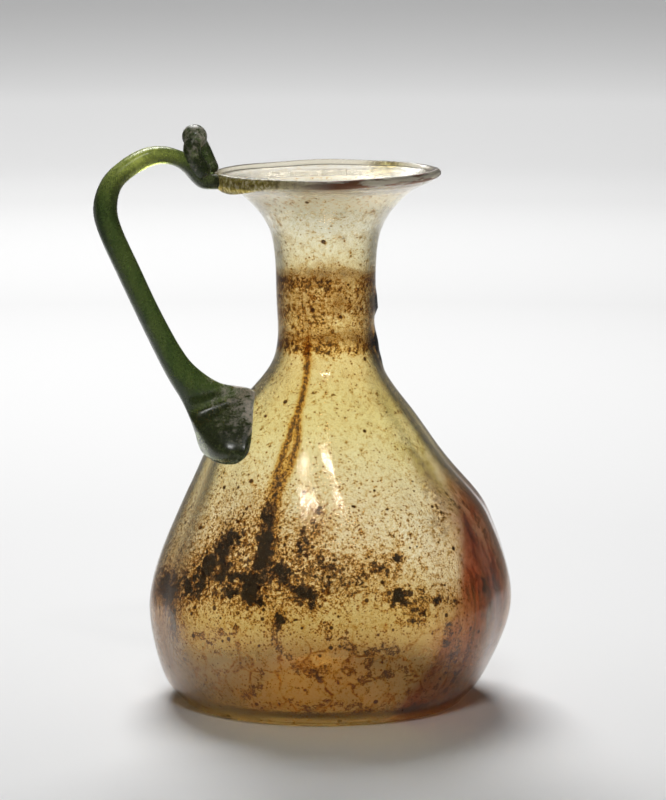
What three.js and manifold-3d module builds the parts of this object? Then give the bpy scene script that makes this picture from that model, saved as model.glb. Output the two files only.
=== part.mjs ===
// Free-blown glass jug: a pear-shaped amber body with an optic-ribbed wall, a pushed-in base,
// a folded funnel rim, and a drawn green handle that ends in a looped thumb-rest.
// Millimetres, +Z up. The handle lies along -X and the jug stands on Z = 0.

import * as THREE from 'three';
import * as BufferGeometryUtils from 'three/addons/utils/BufferGeometryUtils.js';
import Module from 'manifold-3d';

const wasm = await Module();
wasm.setup();

// Body outline: outer radii and the heights that they lie at
const restRadius = 35;
const heelRadius = 39.9;
const heelHeight = 6;
const bellyRadius = 45.1;
const bellyHeight = 25;
const flankRadius = 38.9;
const flankHeight = 46;
const slopeRadius = 31.6;
const slopeHeight = 58;
const shoulderRadius = 23.9;
const shoulderHeight = 70;
const neckRootRadius = 13;
const neckRootHeight = 85;
const neckRadius = 12.3;
const neckHeight = 100;
const throatRadius = 14;
const throatHeight = 117;
const funnelRadius = 20.4;
const funnelHeight = 125.3;

// Walls
const bodyWall = 1.5;
const neckWall = 1.7;
const baseWall = 2.4;

// Pushed-in base with the scar that the pontil rod leaves
const restWidth = 4.5;
const kickHeight = 7;
const scarRadius = 6;
const scarHeight = 0.5;
const scarWidth = 1.2;

// Folded rim: the edge is turned out and down, then in again to a ledge inside the mouth. The
// wall meets the fold at a root that lies in from its flap and below it.
const rimRadius = 28.2;
const rimHeight = 131.2;
const foldHeight = 2.1;
const flapWidth = 1.5;
const lipRound = 0.7;
const ledgeWidth = 3.2;
const ledgeDrop = 1.4;
const rootInset = 0.4;
const rootDrop = 0.6;

// The fold hangs lower where the handle is pressed on, and the rim rises away from it
const foldHang = 2.3;
const hangSpread = 0.42;
const hangTurn = 0.2;
const rimRise = 0.38;

// Optic ribs, and the drift of the centre line that free blowing leaves
const ribCount = 16;
const ribDepth = 0.32;
const ribTwist = 0.25;
const bellyDrift = 1.8;
const shoulderDrift = -1.1;
const baseDrift = -0.9;

// Handle: thickness lies in the handle's plane, width across it. A squareness of 2 is an oval
// section, and more is a rounded square.
const handleThickness = 5.5;
const archThickness = 4.2;
const handleWidth = 5.9;
const trailSquareness = 2.8;
const handleReach = 58.6;
const archHeight = 138;
const bendHeight = 123.8;

// Pad where the trail was dropped on the shoulder, and the web pulled up from it
const padWidth = 20.6;
const padDepth = 17.4;
const padShift = -2.9;
const padOut = 25.5;
const webOut = 32.6;
const padFootHeight = 61;
const padTopHeight = 78.9;

// Thumb-rest: one length of the same trail, looped over above the handle's arch
const loopRise = 5.1;
const loopSet = 5.9;
const loopSpan = 4.7;
const loopThickness = 4.3;
const loopCrown = 6;
const loopFootSet = 1.2;

// Gap between pieces that are fused in the real glass
const seam = 0.3;

// Facets
const aroundSteps = 64;
const wallSteps = 27;
const linerSteps = 20;
const kickSteps = 7;
const handleSteps = 40;
const loopSteps = 12;
const trailSides = 16;

// The outer wall is one smooth curve from the resting ring to the underside of the fold
function outerWallCurve() {
  const rootRadius = rimRadius - flapWidth - rootInset;
  const rootHeight = rimHeight - foldHeight - rootDrop;
  return new THREE.CatmullRomCurve3([
    new THREE.Vector3(restRadius, 0, 0),
    new THREE.Vector3(heelRadius, heelHeight, 0),
    new THREE.Vector3(bellyRadius, bellyHeight, 0),
    new THREE.Vector3(flankRadius, flankHeight, 0),
    new THREE.Vector3(slopeRadius, slopeHeight, 0),
    new THREE.Vector3(shoulderRadius, shoulderHeight, 0),
    new THREE.Vector3(neckRootRadius, neckRootHeight, 0),
    new THREE.Vector3(neckRadius, neckHeight, 0),
    new THREE.Vector3(throatRadius, throatHeight, 0),
    new THREE.Vector3(funnelRadius, funnelHeight, 0),
    new THREE.Vector3(rootRadius, rootHeight, 0),
  ], false, 'centripetal');
}

// Wall thickness eases from the heavy base to the thin body and up to the neck
function wallAt(height) {
  const aboveBase = THREE.MathUtils.smoothstep(height, 0, bellyHeight);
  const nearNeck = THREE.MathUtils.smoothstep(height, flankHeight, neckHeight);
  return THREE.MathUtils.lerp(THREE.MathUtils.lerp(baseWall, bodyWall, aboveBase), neckWall, nearNeck);
}

// A point of the outer wall moved square to the wall, inwards where the offset is positive
function wallPoint(curve, along, offset) {
  const point = curve.getPointAt(along);
  const tangent = curve.getTangentAt(along);
  return new THREE.Vector2(point.x - tangent.y * offset, point.y + tangent.x * offset);
}

// The underside rises as a cosine bell from the resting ring, less the ring-shaped scar
function kickPoint(radius, thickness) {
  const restInner = restRadius - restWidth;
  const bell = 0.5 + 0.5 * Math.cos(Math.PI * Math.min(radius / restInner, 1));
  const scar = thickness > 0 ? 0 : Math.exp(-(((radius - scarRadius) / scarWidth) ** 2));
  return new THREE.Vector2(radius, kickHeight * bell - scarHeight * scar + thickness);
}

// Half of the jug's section, on the axis at both ends; hang marks how much a point drops
// with the fold
function vesselSection() {
  const curve = outerWallCurve();
  const section = [];
  const add = (point, hang = 0) => section.push({ radius: point.x, height: point.y, hang });

  const restInner = restRadius - restWidth;
  for (let step = 0; step <= kickSteps; step += 1) {
    add(kickPoint((restInner * step) / kickSteps, 0));
  }
  for (let step = 0; step <= wallSteps; step += 1) {
    add(wallPoint(curve, step / wallSteps, 0));
  }

  const foldBottom = rimHeight - foldHeight;
  add(new THREE.Vector2(rimRadius - flapWidth, foldBottom), 1);
  add(new THREE.Vector2(rimRadius - lipRound, foldBottom), 1);
  add(new THREE.Vector2(rimRadius, foldBottom + lipRound), 0.7);
  add(new THREE.Vector2(rimRadius, rimHeight - lipRound));
  add(new THREE.Vector2(rimRadius - lipRound, rimHeight));
  add(new THREE.Vector2(rimRadius - 2 * lipRound, rimHeight - 0.4 * lipRound));
  add(new THREE.Vector2(rimRadius - ledgeWidth + lipRound, rimHeight - ledgeDrop + 0.4 * lipRound));
  add(new THREE.Vector2(rimRadius - ledgeWidth, rimHeight - ledgeDrop));

  // The inner wall stops short of the curve's ends, where the fold and the floor take over
  const topShare = 0.965;
  const footShare = 0.02;
  for (let step = 0; step <= linerSteps; step += 1) {
    const along = THREE.MathUtils.lerp(topShare, footShare, step / linerSteps);
    const height = curve.getPointAt(along).y;
    add(wallPoint(curve, along, wallAt(height)));
  }
  for (let step = kickSteps; step >= 0; step -= 1) {
    add(kickPoint((restInner * step) / kickSteps, baseWall));
  }
  return section;
}

// The free-blown shape: ribs swell and fade over the body, the centre line drifts, and the
// rim tilts and hangs. Angle 0 is the handle's side.
function blownPoint(point, angle) {
  const { radius, height, hang } = point;
  const rise = THREE.MathUtils.smoothstep;
  const ribFade = rise(height, 0, bellyHeight) * (1 - rise(height, flankHeight, neckRootHeight));
  const ribAngle = ribCount * (angle + (ribTwist * height) / shoulderHeight);
  const inWall = rise(radius, 0, neckRadius);
  const bent = radius + ribDepth * Math.cos(ribAngle) * ribFade * inWall;

  const upperSlope = (slopeHeight + shoulderHeight) / 2;
  const belly = rise(height, 0, flankHeight) * (1 - rise(height, flankHeight, upperSlope));
  const underNeck = 1 - rise(height, shoulderHeight, neckRootHeight);
  const shoulder = rise(height, flankHeight, shoulderHeight) * underNeck;
  const foot = 1 - rise(height, 0, bellyHeight);
  const drift = bellyDrift * belly + shoulderDrift * shoulder + baseDrift * foot;

  const fromHang = Math.atan2(Math.sin(angle - hangTurn), Math.cos(angle - hangTurn));
  const drop = foldHang * Math.exp(-((fromHang / hangSpread) ** 2)) * hang;
  const tilt = rimRise * (-Math.cos(angle)) * rise(height, neckHeight, rimHeight);
  const x = -bent * Math.cos(angle) + drift;
  const y = -bent * Math.sin(angle);
  return new THREE.Vector3(x, y, height - drop + tilt);
}

// A lathe gives the closed surface, and each of its points is then moved to its blown place
function blowGlass(section) {
  const outline = section.map((point) => new THREE.Vector2(point.radius, point.height));
  const lathe = new THREE.LatheGeometry(outline, aroundSteps);
  const position = lathe.attributes.position;
  for (let index = 0; index < position.count; index += 1) {
    const point = section[index % section.length];
    const angle = (2 * Math.PI * Math.floor(index / section.length)) / aroundSteps;
    const place = blownPoint(point, point.radius < 1e-6 ? 0 : angle % (2 * Math.PI));
    position.setXYZ(index, place.x, place.y, place.z);
  }
  return lathe;
}

// A closed body through rings of points, each end closed by a fan to the ring's middle
function loftRings(rings) {
  const sides = rings[0].length;
  const middle = (ring) => ring.reduce((sum, p) => sum.add(p), new THREE.Vector3()).divideScalar(sides);
  const points = [...rings.flat(), middle(rings[0]), middle(rings[rings.length - 1])];
  const triangles = [];
  for (let ring = 0; ring < rings.length - 1; ring += 1) {
    for (let side = 0; side < sides; side += 1) {
      const next = (side + 1) % sides;
      const a = ring * sides + side;
      const b = ring * sides + next;
      triangles.push(a, b, b + sides, a, b + sides, a + sides);
    }
  }
  const lastRing = (rings.length - 1) * sides;
  for (let side = 0; side < sides; side += 1) {
    const next = (side + 1) % sides;
    triangles.push(points.length - 2, next, side);
    triangles.push(points.length - 1, lastRing + side, lastRing + next);
  }
  const geometry = new THREE.BufferGeometry().setFromPoints(points);
  geometry.setIndex(triangles);
  return geometry;
}

// Ring sizes near a free end follow a half circle, so the end is a dome
function domeAt(along, endLength) {
  const inward = Math.min(along, 1 - along) / endLength;
  return inward >= 1 ? 1 : Math.sqrt(Math.max(1 - (1 - inward) ** 2, 0.02));
}

// Handle stations from the rim down to the shoulder. Each is a section across the trail: its
// middle, out from the axis and up; lean, the way from the trail's outer edge to its inner
// edge, 0 towards the body and 90 up; its size along lean and across the handle's plane;
// and how far it is centred to one side. Places are shares of the lengths that they lie in.
function handleStations() {
  const { lerp } = THREE.MathUtils;
  const thin = archThickness;
  const thick = handleThickness;
  const wide = handleWidth;
  const reach = handleReach - thick / 2;
  const crest = archHeight - thin / 2;
  const atRim = (beyond, above) => ({ out: rimRadius + beyond * thin, up: rimHeight + above * thin });
  const onArch = (along, sink) => ({ out: lerp(rimRadius, reach, along), up: crest - sink * thin });
  const onLeg = (along, rise) => ({
    out: lerp(webOut, reach, along),
    up: lerp(padTopHeight, bendHeight, rise),
  });
  const onPad = (beyond, rise) => ({ out: padOut * beyond, up: lerp(padFootHeight, padTopHeight, rise) });
  return [
    { ...atRim(-0.18, -0.5), lean: -109, thickness: 0.95 * thin, width: wide, shift: 0 },
    { ...atRim(0.59, -0.43), lean: -114, thickness: thin, width: wide, shift: 0 },
    { ...atRim(1, -0.14), lean: -126, thickness: thin, width: wide, shift: 0 },
    { ...atRim(1.5, 0.43), lean: -129, thickness: thin, width: wide, shift: 0 },
    { ...onArch(0.34, 0.23), lean: -111, thickness: 0.95 * thin, width: wide, shift: 0 },
    { ...onArch(0.48, 0), lean: -86, thickness: thin, width: wide, shift: 0 },
    { ...onArch(0.63, 0.14), lean: -70, thickness: 1.07 * thin, width: wide, shift: 0 },
    { ...onArch(0.8, 0.73), lean: -51, thickness: 1.09 * thin, width: wide, shift: 0 },
    { ...onArch(0.94, 1.59), lean: -25, thickness: 0.88 * thick, width: wide, shift: 0 },
    { ...onLeg(1, 1), lean: 0, thickness: thick, width: wide, shift: 0 },
    { ...onLeg(0.95, 0.87), lean: 14, thickness: thick, width: wide, shift: 0 },
    { ...onLeg(0.74, 0.63), lean: 26, thickness: thick, width: wide, shift: 0 },
    { ...onLeg(0.54, 0.41), lean: 27, thickness: thick, width: wide, shift: 0 },
    { ...onLeg(0.325, 0.194), lean: 28, thickness: 1.1 * thick, width: wide, shift: 0 },
    { ...onLeg(0.18, 0.078), lean: 25, thickness: 1.32 * thick, width: 1.1 * wide, shift: 0.1 * padShift },
    { ...onLeg(0, -0.013), lean: 16, thickness: 0.61 * padDepth, width: wide, shift: 0.2 * padShift },
    { ...onPad(1.067, 0.78), lean: 17, thickness: padDepth, width: 0.8 * wide, shift: 0.15 * padShift },
    { ...onPad(1, 0.49), lean: 14, thickness: padDepth, width: 0.68 * padWidth, shift: 0.9 * padShift },
    { ...onPad(0.99, 0.2), lean: 3, thickness: 0.85 * padDepth, width: padWidth, shift: padShift },
    { ...onPad(1.01, 0.05), lean: -2, thickness: 0.66 * padDepth, width: 0.84 * padWidth, shift: padShift },
    { ...onPad(1.02, 0), lean: -2, thickness: 0.34 * padDepth, width: 0.53 * padWidth, shift: padShift },
  ];
}

// Reads a smooth value between stations for every step of the loft
function spread(values) {
  const curve = new THREE.SplineCurve(values.map((value, index) => new THREE.Vector2(index, value)));
  return (along) => curve.getPoint(along).y;
}

// A superellipse: a circle's cosine or sine raised to a power, with its sign kept
function squared(value) {
  return Math.sign(value) * Math.abs(value) ** (2 / trailSquareness);
}

// The handle is a loft of rounded squares, one for each step between the stations
function handleBody(grow) {
  const stations = handleStations();
  const out = spread(stations.map((station) => station.out));
  const up = spread(stations.map((station) => station.up));
  const lean = spread(stations.map((station) => station.lean));
  const thickness = spread(stations.map((station) => station.thickness));
  const width = spread(stations.map((station) => station.width));
  const shift = spread(stations.map((station) => station.shift));
  const rings = [];
  for (let step = 0; step <= handleSteps; step += 1) {
    const along = step / handleSteps;
    const tilt = THREE.MathUtils.degToRad(lean(along));
    const halfDeep = thickness(along) / 2 + grow;
    const halfWide = width(along) / 2 + grow;
    const ring = [];
    for (let side = 0; side < trailSides; side += 1) {
      const turn = (2 * Math.PI * side) / trailSides;
      const deep = halfDeep * squared(Math.cos(turn));
      const x = -out(along) + deep * Math.cos(tilt);
      const z = up(along) + deep * Math.sin(tilt);
      ring.push(new THREE.Vector3(x, shift(along) - halfWide * squared(Math.sin(turn)), z));
    }
    rings.push(ring);
  }
  return loftRings(rings);
}

// One arm of the loop: a round trail along a short path, domed at both ends
function loopArm(points) {
  const path = new THREE.CatmullRomCurve3(points, false, 'centripetal');
  const frames = path.computeFrenetFrames(loopSteps, false);
  const rings = [];
  for (let step = 0; step <= loopSteps; step += 1) {
    const along = step / loopSteps;
    const radius = (loopThickness / 2) * domeAt(along, 0.15);
    const centre = path.getPointAt(along);
    const ring = [];
    for (let side = 0; side < trailSides; side += 1) {
      const turn = (2 * Math.PI * side) / trailSides;
      const across = frames.normals[step].clone().multiplyScalar(radius * Math.cos(turn));
      const beside = frames.binormals[step].clone().multiplyScalar(radius * Math.sin(turn));
      ring.push(centre.clone().add(across).add(beside));
    }
    rings.push(ring);
  }
  return toSolid(loftRings(rings));
}

// The loop climbs from the rim's outer edge, turns over in a bead, and comes down on the
// lip behind. Places on the arms are shares of the trail's thickness.
function loopBody() {
  const half = loopSpan / 2;
  const foot = rimRadius + loopFootSet;
  const crown = rimRadius + loopSet;
  const crownMiddle = archHeight + loopRise - loopCrown / 2;
  const arm = (side, beyond, above) => new THREE.Vector3(
    -foot - beyond * loopThickness,
    side,
    rimHeight + above * loopThickness,
  );
  const frontArm = loopArm([
    arm(-half, 0.34, -0.1),
    arm(-half, 0.85, 0.5),
    arm(-half, 1.22, 1.2),
    new THREE.Vector3(-crown, -half * 0.7, crownMiddle),
  ]);
  const backArm = loopArm([
    arm(half, -0.29, -0.15),
    arm(half, 0.29, 1.17),
    new THREE.Vector3(-crown + 0.32 * loopThickness, half * 0.7, crownMiddle),
  ]);
  const bead = new THREE.SphereGeometry(loopCrown / 2, trailSides, trailSides);
  bead.scale(1, (loopSpan + 0.66 * loopThickness) / loopCrown, 1);
  bead.translate(-crown + 0.17 * loopThickness, 0, crownMiddle);
  return frontArm.add(backArm).add(toSolid(bead));
}

// Closed mesh to solid and back, for the cuts where one gather of glass meets another
function toSolid(geometry) {
  const bare = geometry.clone();
  bare.deleteAttribute('normal');
  bare.deleteAttribute('uv');
  const merged = BufferGeometryUtils.mergeVertices(bare, 1e-4);
  const triangles = [];
  const index = merged.index.array;
  for (let corner = 0; corner < index.length; corner += 3) {
    const [a, b, c] = [index[corner], index[corner + 1], index[corner + 2]];
    if (a !== b && b !== c && c !== a) {
      triangles.push(a, b, c);
    }
  }
  return new wasm.Manifold(new wasm.Mesh({
    numProp: 3,
    vertProperties: new Float32Array(merged.attributes.position.array),
    triVerts: new Uint32Array(triangles),
  }));
}

// A cut can leave crumbs beside the piece itself
function mainPiece(solid) {
  return solid.decompose().reduce((most, piece) => (piece.volume() > most.volume() ? piece : most));
}

function toGeometry(solid) {
  const mesh = solid.getMesh();
  const geometry = new THREE.BufferGeometry();
  geometry.setAttribute('position', new THREE.BufferAttribute(new Float32Array(mesh.vertProperties), 3));
  geometry.setIndex(new THREE.BufferAttribute(new Uint32Array(mesh.triVerts), 1));
  geometry.computeVertexNormals();
  return geometry;
}

// The filled outside of the body and rim, grown by the seam: what is applied to the glass
// is cut back to it
function bodyWithSeam() {
  const curve = outerWallCurve();
  const section = [{ radius: 0, height: -seam, hang: 0 }];
  const add = (point, hang = 0) => section.push({ radius: point.x, height: point.y, hang });
  for (let step = 0; step <= wallSteps; step += 1) {
    add(wallPoint(curve, step / wallSteps, -seam));
  }
  const foldBottom = rimHeight - foldHeight;
  add(new THREE.Vector2(rimRadius - flapWidth, foldBottom - seam), 1);
  add(new THREE.Vector2(rimRadius - lipRound + seam, foldBottom - seam), 1);
  add(new THREE.Vector2(rimRadius + seam, foldBottom + lipRound), 0.7);
  add(new THREE.Vector2(rimRadius + seam, rimHeight - lipRound + seam / 2));
  add(new THREE.Vector2(rimRadius - lipRound + seam / 2, rimHeight + seam));
  add(new THREE.Vector2(0, rimHeight + seam));
  return toSolid(blowGlass(section));
}

const amberGlass = new THREE.MeshStandardMaterial({ color: 0xc9a568, roughness: 0.12, metalness: 0 });
const greenGlass = new THREE.MeshStandardMaterial({ color: 0x3d5a22, roughness: 0.1, metalness: 0 });

// Slivers shorter than this are merged away after a cut
const sliver = 0.03;

const bodyCut = bodyWithSeam();
const handleSolid = mainPiece(toSolid(handleBody(0)).subtract(bodyCut)).simplify(sliver);
const handleCut = toSolid(handleBody(seam));
const loopSolid = mainPiece(loopBody().subtract(bodyCut).subtract(handleCut)).simplify(sliver);

const vessel = new THREE.Mesh(toGeometry(toSolid(blowGlass(vesselSection()))), amberGlass);
vessel.name = 'vessel';

const handle = new THREE.Mesh(toGeometry(handleSolid), greenGlass);
handle.name = 'handle';

const thumbRest = new THREE.Mesh(toGeometry(loopSolid), greenGlass);
thumbRest.name = 'thumb_rest';

const jug = new THREE.Group();
jug.add(vessel, handle, thumbRest);

// The origin is under the middle of the whole jug, handle included
const extent = new THREE.Box3().setFromObject(jug);
const centre = extent.getCenter(new THREE.Vector3());
jug.position.set(-centre.x, -centre.y, -extent.min.z);
jug.updateMatrixWorld(true);

export default jug;
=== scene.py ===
import math

import bpy
import numpy as np
from mathutils import Matrix, Vector


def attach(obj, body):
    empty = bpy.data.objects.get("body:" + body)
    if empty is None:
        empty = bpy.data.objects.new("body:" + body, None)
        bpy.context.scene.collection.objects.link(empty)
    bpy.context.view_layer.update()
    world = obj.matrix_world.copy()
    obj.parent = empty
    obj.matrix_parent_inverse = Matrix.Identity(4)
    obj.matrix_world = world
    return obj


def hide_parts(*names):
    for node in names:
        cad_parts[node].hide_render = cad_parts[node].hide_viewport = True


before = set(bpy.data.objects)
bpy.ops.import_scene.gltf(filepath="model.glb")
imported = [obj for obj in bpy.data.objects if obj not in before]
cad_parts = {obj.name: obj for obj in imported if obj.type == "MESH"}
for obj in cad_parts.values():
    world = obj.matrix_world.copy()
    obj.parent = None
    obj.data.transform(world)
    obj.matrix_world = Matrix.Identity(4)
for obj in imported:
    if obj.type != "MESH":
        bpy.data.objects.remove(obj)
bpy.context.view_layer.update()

# Lengths in the settings are millimetres and angles are degrees, except where a note says radians. Angle 0
# on the vessel is the handle's side, and it grows towards the side that the camera sees.
mm = 0.001
axisX = 6.211  # the vessel's axis, off the origin because the handle counts in the frame's middle


def smoothStep(x, low, high):
    # the clamped share t of the way from low to high, as 3t^2 - 2t^3
    t = np.clip((x - low) / (high - low), 0, 1)
    return t * t * (3 - 2 * t)


def wrapAngle(angle):
    # the same direction, between -pi and pi
    return np.arctan2(np.sin(angle), np.cos(angle))


def bell(x, width):
    # exp(-(x / width)^2)
    return np.exp(-((x / width) ** 2))


def bellRound(angle, middle, width):
    # a bell round the wall, in radians
    return bell(wrapAngle(angle - middle), width)


def plateau(x, start, full, fading, gone):
    # comes in from start to full and goes out from fading to gone
    return smoothStep(x, start, full) * (1 - smoothStep(x, fading, gone))


def wholeTurn(count):
    return np.linspace(0, 2 * np.pi, count, endpoint=False)


def centripetalCurve(points, count):
    # Catmull-Rom through the points, with knots spaced by the square root of the chord, read at
    # count places that are equally far apart along it
    p = np.array(points, float)
    p = np.vstack([2 * p[0] - p[1], p, 2 * p[-1] - p[-2]])
    knot = np.sqrt(np.linalg.norm(np.diff(p, axis=0), axis=1))[:, None]
    before, here, after = knot[:-2], knot[1:-1], knot[2:]
    p0, p1, p2, p3 = p[:-3], p[1:-2], p[2:-1], p[3:]
    leave = here * ((p1 - p0) / before - (p2 - p0) / (before + here) + (p2 - p1) / here)
    arrive = here * ((p2 - p1) / here - (p3 - p1) / (here + after) + (p3 - p2) / after)
    t = np.linspace(0, 1, 60, endpoint=False)[None, :, None]
    p1, p2, leave, arrive = (v[:, None, :] for v in (p1, p2, leave, arrive))
    fine = p1 + leave * t + (3 * (p2 - p1) - 2 * leave - arrive) * t**2
    fine = fine + (2 * (p1 - p2) + leave + arrive) * t**3
    fine = np.vstack([fine.reshape(-1, p.shape[1]), p[-2]])
    run = np.concatenate([[0], np.cumsum(np.linalg.norm(np.diff(fine, axis=0), axis=1))])
    at = np.linspace(0, run[-1], count)
    return np.stack([np.interp(at, run, column) for column in fine.T], axis=1)


def splineThrough(values, count):
    # Catmull-Rom through values that stand one step apart, with the end values doubled
    v = np.array(values, float)
    v = np.concatenate([v[:1], v, v[-1:]])
    at = np.linspace(0, len(values) - 1, count)
    i = np.minimum(at.astype(int), len(values) - 2)
    t = at - i
    leave = (v[i + 2] - v[i]) / 2
    arrive = (v[i + 3] - v[i + 1]) / 2
    rise = v[i + 2] - v[i + 1]
    return v[i + 1] + leave * t + (3 * rise - 2 * leave - arrive) * t**2 + (leave + arrive - 2 * rise) * t**3


def gridFaces(rows, around):
    # quads between neighbouring rows of a grid that closes on itself around, turned to face outwards
    i, j = np.meshgrid(np.arange(rows - 1), np.arange(around), indexing="ij")
    here, beyond, k = i * around, (i + 1) * around, (j + 1) % around
    return np.stack([here + j, here + k, beyond + k, beyond + j], -1).reshape(-1, 4)


def closedTube(points, flip=False):
    # vertices, quads and end triangles of rows of points, closed at each end by a fan to the row's mean
    rows, around = points.shape[:2]
    quads = gridFaces(rows, around)
    j = np.arange(around)
    k = (j + 1) % around
    end = (rows - 1) * around
    fans = np.concatenate([
        np.stack([np.full(around, rows * around), k, j], 1),
        np.stack([np.full(around, rows * around + 1), end + j, end + k], 1),
    ])
    if flip:
        quads, fans = quads[:, ::-1], fans[:, ::-1]
    return np.vstack([points.reshape(-1, 3), points[0].mean(axis=0), points[-1].mean(axis=0)]), quads, fans


def setAll(thing, **settings):
    for key, value in settings.items():
        setattr(thing, key, value)
    return thing


def addObject(name, data):
    thing = bpy.data.objects.new(name, data)
    bpy.context.collection.objects.link(thing)
    return thing


def addPiece(name, vertices, quads, fans):
    mesh = bpy.data.meshes.new(name)
    mesh.from_pydata((vertices * mm).tolist(), [], quads.tolist() + fans.tolist())
    mesh.polygons.foreach_set("use_smooth", np.ones(len(mesh.polygons), bool))
    mesh.update()
    return addObject(name, mesh)


def addFields(piece, fields):
    # one number for each vertex, which the materials read by name
    for name, values in fields.items():
        field = piece.data.attributes.new(name, "FLOAT", "POINT")
        flat = np.zeros(len(piece.data.vertices), np.float32)
        flat[: values.size] = values.ravel()
        field.data.foreach_set("value", flat)


# Camera: on the side of the vessel's belly, turned towards the handle, looking a little down
cameraPlace = {
    "turn": 18,
    "distance": 900,
    "height": 210,
    "down": 8.585,
    "side": 1.75,
    "lens": 165.6,
    "sensor": 36,
}
turn = math.radians(cameraPlace["turn"])
down = math.radians(cameraPlace["down"])
awayDir = Vector((math.sin(turn), math.cos(turn), 0))  # level, from the camera to the jug
rightDir = Vector((math.cos(turn), -math.sin(turn), 0))
jugFoot = Vector((axisX * mm, 0, 0))


def fromJug(away, right, up):
    # a place given as seen by the camera: beyond the jug, to its right, and above the floor
    return jugFoot + (awayDir * away + rightDir * right) * mm + Vector((0, 0, up * mm))


def aimedAt(place, target):
    # a matrix at place whose -Z looks to the target
    way = (target - place).to_track_quat("-Z", "Y")
    return Matrix.Translation(place) @ way.to_matrix().to_4x4()


def makeCamera():
    lookDir = awayDir * math.cos(down) + Vector((0, 0, -math.sin(down)))
    upDir = rightDir.cross(lookDir)
    data = bpy.data.cameras.new("studioCamera")
    setAll(data, lens=cameraPlace["lens"], sensor_width=cameraPlace["sensor"], clip_start=0.05, clip_end=20)
    camera = addObject("studioCamera", data)
    place = fromJug(-cameraPlace["distance"], cameraPlace["side"], cameraPlace["height"])
    turned = Matrix((rightDir, upDir, -lookDir)).transposed().to_4x4()
    camera.matrix_world = Matrix.Translation(place) @ turned
    bpy.context.scene.camera = camera


makeCamera()
print("camera ready")


# Node helpers
def setColour(rgb):
    return (rgb[0], rgb[1], rgb[2], 1.0)


def setInputs(tree, node, inputs):
    # a socket is linked, and anything else is the input's own value
    for key, value in inputs.items():
        if isinstance(value, bpy.types.NodeSocket):
            tree.links.new(value, node.inputs[key])
        else:
            node.inputs[key].default_value = value


def addNode(tree, kind, inputs=None, **settings):
    node = setAll(tree.nodes.new("ShaderNode" + kind), **settings)
    setInputs(tree, node, inputs or {})
    return node


def calc(tree, operation, a, b=0.0):
    return addNode(tree, "Math", {0: a, 1: b}, operation=operation).outputs[0]


def times(tree, a, b):
    return calc(tree, "MULTIPLY", a, b)


def most(tree, value, *others):
    for other in others:
        value = calc(tree, "MAXIMUM", value, other)
    return value


def blendColour(tree, factor, under, over):
    # under is a socket or a socket's value, and over is a colour of the settings
    inputs = {0: factor, 6: under, 7: setColour(over)}
    return addNode(tree, "Mix", inputs, data_type="RGBA").outputs[2]


def layColours(tree, colour, layers, noises):
    # each row lays its colour over the last: field that places it, noise, ramp over the noise, colour
    for field, noise, span, over in layers:
        mask = ramp(tree, noises[noise], *span)
        if field:
            mask = times(tree, readField(tree, field), mask)
        colour = blendColour(tree, mask, colour, over)
    return colour


def addNoise(tree, place, scale, detail, roughness=0.5):
    # output 0 is a value and output 1 a colour
    inputs = {"Vector": place, "Scale": scale, "Detail": detail, "Roughness": roughness}
    return addNode(tree, "TexNoise", inputs).outputs


def addBump(tree, height, strength):
    inputs = {"Height": height, "Strength": strength, "Distance": 0.3 * mm}
    return addNode(tree, "Bump", inputs).outputs[0]


def ramp(tree, value, low, high, start=0.0, end=1.0):
    inputs = {"Value": value, "From Min": low, "From Max": high, "To Min": start, "To Max": end}
    return addNode(tree, "MapRange", inputs, interpolation_type="SMOOTHSTEP").outputs[0]


def lookUp(tree, share, stops):
    # the colour that (position, colour) stops give, straight between neighbours
    node = addNode(tree, "ValToRGB", {0: share})
    marks = node.color_ramp.elements
    marks[0].position, marks[1].position = stops[0][0], stops[-1][0]
    marks[0].color, marks[1].color = setColour(stops[0][1]), setColour(stops[-1][1])
    for position, colour in stops[1:-1]:
        marks.new(position).color = setColour(colour)
    return node.outputs[0]


def readField(tree, name):
    return addNode(tree, "Attribute", attribute_name=name).outputs["Fac"]


def startGroup(name, **inputs):
    # every group reads a vector and the inputs named, and gives one value
    group = bpy.data.node_groups.new(name, "ShaderNodeTree")
    for label, value in {"Vector": (0.0, 0.0, 0.0), **inputs}.items():
        kind = "NodeSocketFloat" if isinstance(value, float) else "NodeSocketVector"
        group.interface.new_socket(label, in_out="INPUT", socket_type=kind).default_value = value
    group.interface.new_socket("Value", in_out="OUTPUT", socket_type="NodeSocketFloat")
    return group, group.nodes.new("NodeGroupInput").outputs, group.nodes.new("NodeGroupOutput").inputs[0]


def useGroup(tree, group, place, **inputs):
    return addNode(tree, "Group", {"Vector": place, **inputs}, node_tree=group).outputs[0]


def makeStainGroup():
    # how thick a stain lies: the field, made ragged by noise from a few millimetres down to tenths
    group, given, out = startGroup("raggedStain", Field=0.0, Scale=300.0, Rough=1.0)
    noise = addNoise(group, given["Vector"], given["Scale"], 5.0, 0.8)[0]
    swing = times(group, calc(group, "SUBTRACT", noise, 0.5), times(group, given["Rough"], 3.6))
    group.links.new(calc(group, "ADD", given["Field"], swing), out)
    return group


def makePitGroup():
    # small round spots: one in a cell for a share of the cells, each with its own size
    group, given, out = startGroup("pitSpots", Scale=1000.0, Share=0.4, Size=0.3)
    cells = addNode(group, "TexVoronoi", {"Vector": given["Vector"], "Scale": given["Scale"]})
    chance = addNode(group, "SeparateColor", {0: cells.outputs["Color"]}).outputs
    chosen = calc(group, "LESS_THAN", chance[0], given["Share"])
    size = times(group, given["Size"], calc(group, "ADD", 0.5, chance[1]))
    spot = ramp(group, calc(group, "DIVIDE", cells.outputs["Distance"], size), 0.6, 1.0, 1.0, 0.0)
    group.links.new(times(group, spot, chosen), out)
    return group


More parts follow.
